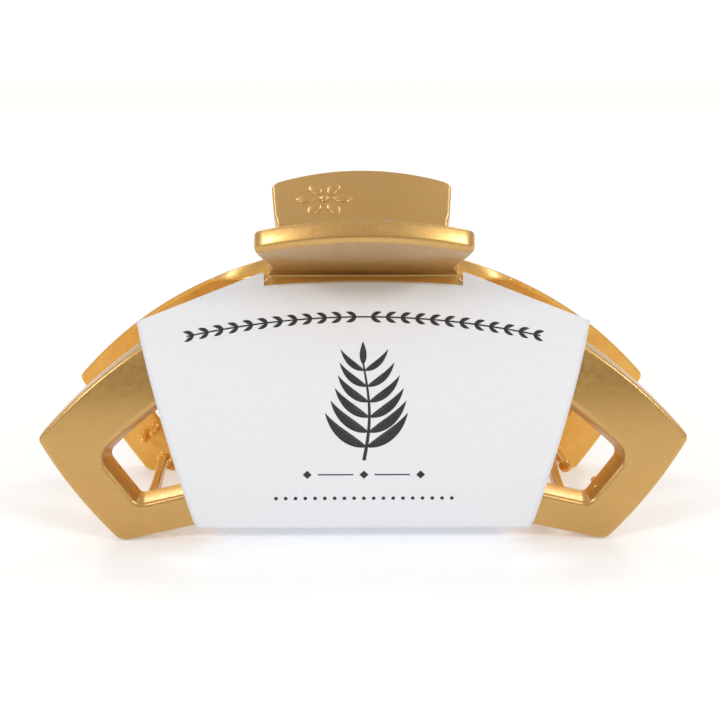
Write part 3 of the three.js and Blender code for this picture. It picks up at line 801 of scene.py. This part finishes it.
def stroke(path, width, lift=0.03):
    """A printed stroke: a thin band along a path of (x, z) on the card, as wide as width at each point."""
    path = np.asarray(path, float)
    width = np.broadcast_to(width, len(path))
    tangent = np.gradient(path, axis=0)
    tangent /= np.linalg.norm(tangent, axis=1)[:, None]
    normal = np.stack([-tangent[:, 1], tangent[:, 0]], 1) * np.maximum(width, 0.02)[:, None] / 2
    rings = []
    for side, depth in ((1, lift), (-1, lift), (-1, -lift), (1, -lift)):
        p = path + side * normal
        rings.append(CARD.at(p[:, 0], card_s(p[:, 1]), -CARD_THICKNESS - depth))
    rings = np.stack(rings, 1)
    start, end = (ring.mean(1, keepdims=True).repeat(4, 1) for ring in (rings[:1], rings[-1:]))
    return tube(np.concatenate([start, rings, end]))


def leaf(x, z, bearing, length, width, bend=0.35):
    """A solid printed leaf that curves by bend along its length, widest before its middle."""
    t = np.linspace(0, 1, 22)
    heading = bearing + bend * t
    path = np.stack([x + length * t * np.cos(heading), z + length * t * np.sin(heading)], 1)
    return stroke(path, width * np.sin(math.pi * t**0.8) ** 0.9)


def lozenge(x, z, half, height):
    """A printed diamond: its width grows evenly to the middle and shrinks evenly again."""
    t = np.linspace(-1, 1, 15)
    return stroke(np.stack([x + half * t, np.full_like(t, z)], 1), height * (1 - np.abs(t)))


def dot(x, z, radius):
    """A printed round dot: the width of a circle along its diameter."""
    t = np.sin(np.linspace(-math.pi / 2, math.pi / 2, 15))
    return stroke(np.stack([x + radius * t, np.full_like(t, z)], 1), 2 * radius * np.sqrt(1 - t**2))


def arch_z(x):
    """Height of the garland: it falls as the square of x."""
    return ARCH_TOP_Z - ARCH_FALL * x**2


def garland():
    """An arched line with small leaves in pairs, which lean away from the middle."""
    x = np.linspace(-ARCH_HALF, ARCH_HALF, 90)
    parts = [stroke(np.stack([x, arch_z(x)], 1), 0.22)]
    for at in np.linspace(-ARCH_HALF + 1.2, ARCH_HALF - 1.2, 24):
        side = math.copysign(1, at)
        along = math.atan(-2 * ARCH_FALL * at) + (0 if at > 0 else math.pi)
        for lean in (0.7, -0.7):
            parts.append(leaf(at, arch_z(at), along + lean, 1.9, 0.58, -0.3 * math.copysign(1, lean)))
    return parts


def sprig():
    """A stem with a slight wave, leaves in pairs that get smaller upwards, and one at its tip."""
    wave = lambda z: 0.9 * np.sin((z - SPRIG_LOW) / 5.0)
    z = np.linspace(SPRIG_LOW, SPRIG_HIGH, 50)
    parts = [stroke(np.stack([wave(z), z], 1), np.linspace(0.6, 0.3, 50))]
    for height in np.linspace(SPRIG_LOW + 2.4, SPRIG_HIGH - 1.2, 6):
        share = (height - SPRIG_LOW) / (SPRIG_HIGH - SPRIG_LOW)
        size = 9.8 - 5.0 * share
        for bearing, bend in ((0.28, 0.42), (math.pi - 0.28, -0.42)):
            parts.append(leaf(wave(height), height, bearing, size, 0.2 * size, bend))
    parts.append(leaf(wave(SPRIG_HIGH), SPRIG_HIGH - 0.3, math.pi / 2, 3.6, 1.15, 0.0))
    return parts


def printed_parts():
    """The card's print: a garland, a sprig, a rule broken by diamonds, and a row of dots."""
    parts = garland() + sprig()
    parts += [lozenge(x, RULE_Z, 0.75, 1.5) for x in (-9.6, 0, 9.6)]
    parts += [stroke(line_between((x - 3, RULE_Z), (x + 3, RULE_Z), 12), 0.22) for x in (-4.8, 4.8)]
    parts += [dot(x, DOTS_Z, 0.32) for x in np.linspace(-15, 15, 19)]
    return parts


# ---------------------------------------------------------------- materials
COAT_DEPTH = 1.9  # millimetres behind the face to which the gold coat is whole
RUBBED_BEND = 1600  # turning per metre at which a rim is rubbed the most


class Nodes:
    """A material's node tree, with short ways to add and join its nodes."""

    def __init__(self, name):
        """A new material, its shader, and the piece's own coordinates."""
        self.material = bpy.data.materials.new(name)
        self.material.use_nodes = True
        self.tree = self.material.node_tree
        self.shader = self.tree.nodes["Principled BSDF"]
        self.place = self.add("ShaderNodeTexCoord").outputs["Object"]

    def add(self, kind, **settings):
        """A new node; each setting goes to its socket, or else to its property."""
        node = self.tree.nodes.new(kind)
        for key, value in settings.items():
            if key in node.inputs:
                node.inputs[key].default_value = value
            else:
                setattr(node, key, value)
        return node

    def link(self, output, target):
        """Joins an output to an input."""
        self.tree.links.new(output, target)

    def noise(self, scale, detail=2.0, roughness=0.5, stretch=None):
        """Noise over the piece's own coordinates, which stretch may scale."""
        texture = self.add("ShaderNodeTexNoise", Scale=scale, Detail=detail, Roughness=roughness)
        place = self.place
        if stretch:
            mapping = self.add("ShaderNodeMapping", Scale=stretch)
            self.link(place, mapping.inputs["Vector"])
            place = mapping.outputs["Vector"]
        self.link(place, texture.inputs["Vector"])
        return texture.outputs["Fac"]

    def ramp(self, value, stops):
        """A colour ramp through (position, colour) stops."""
        ramp = self.add("ShaderNodeValToRGB")
        elements = ramp.color_ramp.elements
        while len(elements) < len(stops):
            elements.new(0.5)
        for element, (position, color) in zip(elements, stops):
            element.position = position
            element.color = (*color, 1) if len(color) == 3 else color
        self.link(value, ramp.inputs["Fac"])
        return ramp.outputs["Color"]

    def mix(self, share, first, second, blend="MIX"):
        """Mixes two colours; share, first and second are each a socket or a value."""
        node = self.add("ShaderNodeMix", data_type="RGBA", blend_type=blend)
        for socket, value in zip((node.inputs[0], node.inputs[6], node.inputs[7]), (share, first, second)):
            if isinstance(value, bpy.types.NodeSocket):
                self.link(value, socket)
            else:
                socket.default_value = value
        return node.outputs[2]

    def spread(self, value, low, high, low_in=0.25, high_in=0.75):
        """Carries low_in..high_in evenly onto low..high."""
        span = self.add("ShaderNodeMapRange")
        for key, number in (("From Min", low_in), ("From Max", high_in), ("To Min", low), ("To Max", high)):
            span.inputs[key].default_value = number
        self.link(value, span.inputs["Value"])
        return span.outputs["Result"]

    def bump(self, height, distance, strength=1.0, under=None):
        """A bump of a height, over another bump where under is given."""
        bump = self.add("ShaderNodeBump", Distance=distance, Strength=strength)
        self.link(height, bump.inputs["Height"])
        if under is not None:
            self.link(under, bump.inputs["Normal"])
        return bump.outputs["Normal"]


def satin_gold():
    """Satin gold coat with fine flakes, a soft orange peel, cloudy tone and rubbed rims. Inside the jaws the
    coat thins out, and the glossier amber plastic shows."""
    n = Nodes("satin_gold")
    cloud = n.ramp(n.noise(55, 3), [(0.3, (0.595, 0.352, 0.108)), (0.7, (0.64, 0.388, 0.126))])
    flake = n.ramp(n.noise(5200, 1), [(0.40, (0.90, 0.885, 0.86)), (0.66, (1.0, 1.0, 1.0))])
    coat = n.mix(0.8, cloud, flake, "MULTIPLY")
    wear = n.add("ShaderNodeAttribute", attribute_name="rim").outputs["Fac"]
    patch = n.spread(n.noise(1500, 4, 0.65), 0.0, 0.7, 0.45, 0.7)
    rubbed = n.add("ShaderNodeMath", operation="MULTIPLY")
    n.link(wear, rubbed.inputs[0])
    n.link(patch, rubbed.inputs[1])
    coat = n.mix(rubbed.outputs[0], coat, (0.68, 0.45, 0.19, 1))
    inside = n.add("ShaderNodeAttribute", attribute_name="inside").outputs["Fac"]
    amber = n.ramp(n.noise(160, 3, 0.6), [(0.3, (0.80, 0.39, 0.045)), (0.7, (0.86, 0.49, 0.085))])
    n.link(n.mix(inside, coat, amber), n.shader.inputs["Base Color"])
    n.link(n.spread(inside, 0.84, 0.35, 0.0, 1.0), n.shader.inputs["Metallic"])
    satin = n.spread(n.noise(900, 3), 0.30, 0.42)
    glossy = n.spread(n.noise(700, 3), 0.20, 0.30)
    n.link(n.mix(inside, satin, glossy), n.shader.inputs["Roughness"])
    n.shader.inputs["Coat Weight"].default_value = 0.45
    n.shader.inputs["Coat Roughness"].default_value = 0.15
    peel = n.bump(n.noise(700, 2), 0.00002, 0.35)
    n.link(n.bump(n.noise(6500, 1), 0.000012, 0.4, peel), n.shader.inputs["Normal"])
    return n.material


def steel(name, tone, roughness, along):
    """Drawn steel: fine bumps that along may stretch into lines, and a slightly uneven shine."""
    n = Nodes(name)
    shade = n.ramp(n.noise(300, 3), [(0.3, tuple(0.86 * c for c in tone)), (0.7, tone)])
    n.link(shade, n.shader.inputs["Base Color"])
    n.shader.inputs["Metallic"].default_value = 1.0
    n.link(n.spread(n.noise(1500, 3), roughness - 0.06, roughness + 0.08), n.shader.inputs["Roughness"])
    n.link(n.bump(n.noise(2600, 3, 0.6, along), 0.000015, 0.5), n.shader.inputs["Normal"])
    return n.material


def white_card():
    """Uncoated white board: faint fibres in its tone, and a soft tooth."""
    n = Nodes("white_card")
    n.link(n.ramp(n.noise(900, 5, 0.7), [(0.35, (0.795, 0.812, 0.858)), (0.65, (0.815, 0.832, 0.878))]),
           n.shader.inputs["Base Color"])
    n.link(n.spread(n.noise(2200, 3), 0.58, 0.74), n.shader.inputs["Roughness"])
    n.link(n.bump(n.noise(2400, 4, 0.6), 0.00002, 0.35), n.shader.inputs["Normal"])
    return n.material


def black_ink():
    """Printed ink: nearly black, a little thin in places, a touch glossier than the board."""
    n = Nodes("black_ink")
    n.link(n.ramp(n.noise(2600, 3), [(0.3, (0.012, 0.012, 0.013)), (0.75, (0.03, 0.029, 0.03))]),
           n.shader.inputs["Base Color"])
    n.link(n.spread(n.noise(3000, 2), 0.4, 0.55), n.shader.inputs["Roughness"])
    return n.material


def mark_rims(piece):
    """Stores in the attribute rim, from 0 to 1, each point's sharpest outward turn per length."""
    mesh = piece.data
    count = len(mesh.vertices)
    normals = np.empty(count * 3)
    mesh.vertices.foreach_get("normal", normals)
    normals = normals.reshape(-1, 3)
    edges = np.empty(len(mesh.edges) * 2, int)
    mesh.edges.foreach_get("vertices", edges)
    a, b = edges.reshape(-1, 2).T
    places = np.empty(count * 3)
    mesh.vertices.foreach_get("co", places)
    places = places.reshape(-1, 3)
    along = places[b] - places[a]
    length = np.maximum(np.linalg.norm(along, axis=1), 1e-7)
    bend = np.sum((normals[b] - normals[a]) * along, axis=1) / length**2
    total = np.zeros(count)
    for end in (a, b):
        np.maximum.at(total, end, bend)
    attribute = mesh.attributes.new("rim", "FLOAT", "POINT")
    attribute.data.foreach_set("value", np.clip(total / RUBBED_BEND, 0, 1).astype(np.float32))


def mark_inside(piece, turned):
    """Stores in the attribute inside how far a jaw's point lies behind the coated face: 0 at the face and on
    the handle, 1 from the wall's inner side on."""
    mesh = piece.data
    places = np.empty(len(mesh.vertices) * 3)
    mesh.vertices.foreach_get("co", places)
    places = places.reshape(-1, 3) / MM * ((-1, -1, 1) if turned else (1, 1, 1))
    depth = distance(places[:, 1:], JAW.line[::3])
    inside = smoothstep(depth, COAT_DEPTH, WALL) * (1 - smoothstep(places[:, 2], HINGE_Z - 3, HINGE_Z - 1))
    mesh.attributes.new("inside", "FLOAT", "POINT").data.foreach_set("value", inside.astype(np.float32))


# ---------------------------------------------------------------- pieces
def make_clip():
    """Builds every piece and gives it its finish; each piece but the spring is told what it rides on."""
    gold = satin_gold()
    parts = jaw_parts()
    front = build("front_jaw_moulding", parts)
    back = build("back_jaw_moulding", [(p * (-1, -1, 1), q) for p, q in parts])
    for piece, node, body in ((front, "front_jaw", "front_clip"), (back, "back_jaw", "back_clip")):
        piece.data.materials.append(gold)
        mark_rims(piece)
        mark_inside(piece, turned=piece is back)
        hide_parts(node)
        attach(piece, body)

    pin = build("turned_hinge_pin", pin_parts())
    pin.data.materials.append(steel("pin_steel", (0.72, 0.71, 0.69), 0.28, (0.05, 1, 1)))
    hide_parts("hinge_pin")
    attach(pin, "front_clip")

    line, half = spring_line()
    spring = build("wound_spring", [swept_wire(line, WIRE_RADIUS)])
    spring.data.materials.append(steel("spring_wire", (0.62, 0.62, 0.63), 0.3, (1, 1, 1)))
    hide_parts("torsion_spring")
    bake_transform(spring)

    card = build("folded_card", card_parts())
    card.data.materials.append(white_card())
    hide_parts("display_card")
    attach(card, "card")
    printed = build("card_print", printed_parts(), weld=1e-7)
    printed.data.materials.append(black_ink())
    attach(printed, "card")


# ---------------------------------------------------------------- studio
CAMERA_DISTANCE, CAMERA_TILT, CAMERA_TURN = 216.2, 17.44, -0.5
CAMERA_AIM_X, CAMERA_AIM_Z = -0.5, 27.45
FOCAL_PX, FRAME_PX = 1192.5, 720
FLOOR_BACK, FLOOR_FRONT, FLOOR_SIDE = 40.0, -1.6, 30.0  # metres
FLOOR_GLOW = ((0.25, 0.25), (2.0, 0.70))  # metres from the clip, and the emission strength there
SKY_TINT = (1.0, 0.94, 0.85)
SKY_TILT = 0.35  # the sky's levels go by height plus this much of Y
SKY = ((-0.3, 0.08), (0.1, 0.45), (0.3, 0.65), (1.0, 0.67))  # height, and level there
LAMPS = (  # name, bearing from the front, angle up, metres away, metres wide, watts
    ("left", -48, 30, 0.8, 0.14, 1.5),
    ("right", 48, 30, 0.8, 0.14, 1.5),
    ("rear_left", -135, 48, 0.8, 0.2, 0.8),
    ("rear_right", 135, 48, 0.8, 0.2, 0.8),
)


def floor():
    """A white floor that ends behind the camera and goes on far behind the clip. Its own light rises evenly
    with the distance from the clip, between the two places of FLOOR_GLOW."""
    corners = [(-FLOOR_SIDE, FLOOR_FRONT, 0), (FLOOR_SIDE, FLOOR_FRONT, 0), (FLOOR_SIDE, FLOOR_BACK, 0),
               (-FLOOR_SIDE, FLOOR_BACK, 0)]
    mesh = bpy.data.meshes.new("floor")
    mesh.from_pydata(corners, [], [(0, 1, 2, 3)])
    ground = bpy.data.objects.new("floor", mesh)
    bpy.context.scene.collection.objects.link(ground)
    paper = Nodes("floor_white")
    away = paper.add("ShaderNodeVectorMath", operation="LENGTH")
    paper.link(paper.place, away.inputs[0])
    (near, low), (far, high) = FLOOR_GLOW
    glow = paper.spread(away.outputs["Value"], low, high, near, far)
    paper.link(glow, paper.shader.inputs["Emission Strength"])
    paper.shader.inputs["Emission Color"].default_value = (0.97, 0.985, 1, 1)
    paper.shader.inputs["Base Color"].default_value = (0.82, 0.84, 0.87, 1)
    paper.shader.inputs["Roughness"].default_value = 0.8
    paper.shader.inputs["Specular IOR Level"].default_value = 0.1
    ground.data.materials.append(paper.material)


def sky():
    """A soft grey sky: dark low in front, where the room is, and lighter overhead and behind."""
    world = bpy.data.worlds.new("studio")
    bpy.context.scene.world = world
    world.use_nodes = True
    tree = world.node_tree
    place = tree.nodes.new("ShaderNodeTexCoord")
    along = tree.nodes.new("ShaderNodeVectorMath")
    along.operation = "DOT_PRODUCT"
    along.inputs[1].default_value = (0, SKY_TILT, 1)
    span = tree.nodes.new("ShaderNodeMapRange")
    span.inputs["From Min"].default_value = SKY[0][0]
    span.inputs["From Max"].default_value = SKY[-1][0]
    ramp = tree.nodes.new("ShaderNodeValToRGB")
    tree.links.new(place.outputs["Generated"], along.inputs[0])
    tree.links.new(along.outputs["Value"], span.inputs["Value"])
    tree.links.new(span.outputs["Result"], ramp.inputs["Fac"])
    elements = ramp.color_ramp.elements
    while len(elements) < len(SKY):
        elements.new(0.5)
    for element, (height, level) in zip(elements, SKY):
        element.position = (height - SKY[0][0]) / (SKY[-1][0] - SKY[0][0])
        element.color = (*(level * share for share in SKY_TINT), 1)
    tree.links.new(ramp.outputs["Color"], tree.nodes["Background"].inputs["Color"])


def lamps():
    """Square soft lamps round the clip, all turned towards it."""
    target = Vector((0, 0, 0.025))
    for name, bearing, height, far, size, power in LAMPS:
        lamp = bpy.data.lights.new(name, "AREA")
        lamp.size, lamp.energy = size, power
        holder = bpy.data.objects.new(name, lamp)
        b, h = math.radians(bearing), math.radians(height)
        offset = Vector((math.sin(b) * math.cos(h), -math.cos(b) * math.cos(h), math.sin(h))) * far
        holder.location = target + offset
        holder.rotation_euler = (-offset).to_track_quat("-Z", "Y").to_euler()
        bpy.context.scene.collection.objects.link(holder)


def camera():
    """A long lens a little above the clip, square to its length."""
    lens = bpy.data.cameras.new("camera")
    holder = bpy.data.objects.new("camera", lens)
    tilt, turn = math.radians(CAMERA_TILT), math.radians(CAMERA_TURN)
    aim = Vector((CAMERA_AIM_X * MM, 0, CAMERA_AIM_Z * MM))
    away = Vector((math.sin(turn) * math.cos(tilt), -math.cos(turn) * math.cos(tilt), math.sin(tilt)))
    holder.location = aim + away * CAMERA_DISTANCE * MM
    holder.rotation_euler = (-away).to_track_quat("-Z", "Y").to_euler()
    lens.sensor_width = 36.0
    lens.lens = lens.sensor_width * FOCAL_PX / FRAME_PX
    lens.clip_start = 0.01
    bpy.context.scene.collection.objects.link(holder)
    bpy.context.scene.camera = holder
    bpy.context.scene.view_settings.view_transform = "Standard"


camera()
make_clip()
floor()
sky()
lamps()
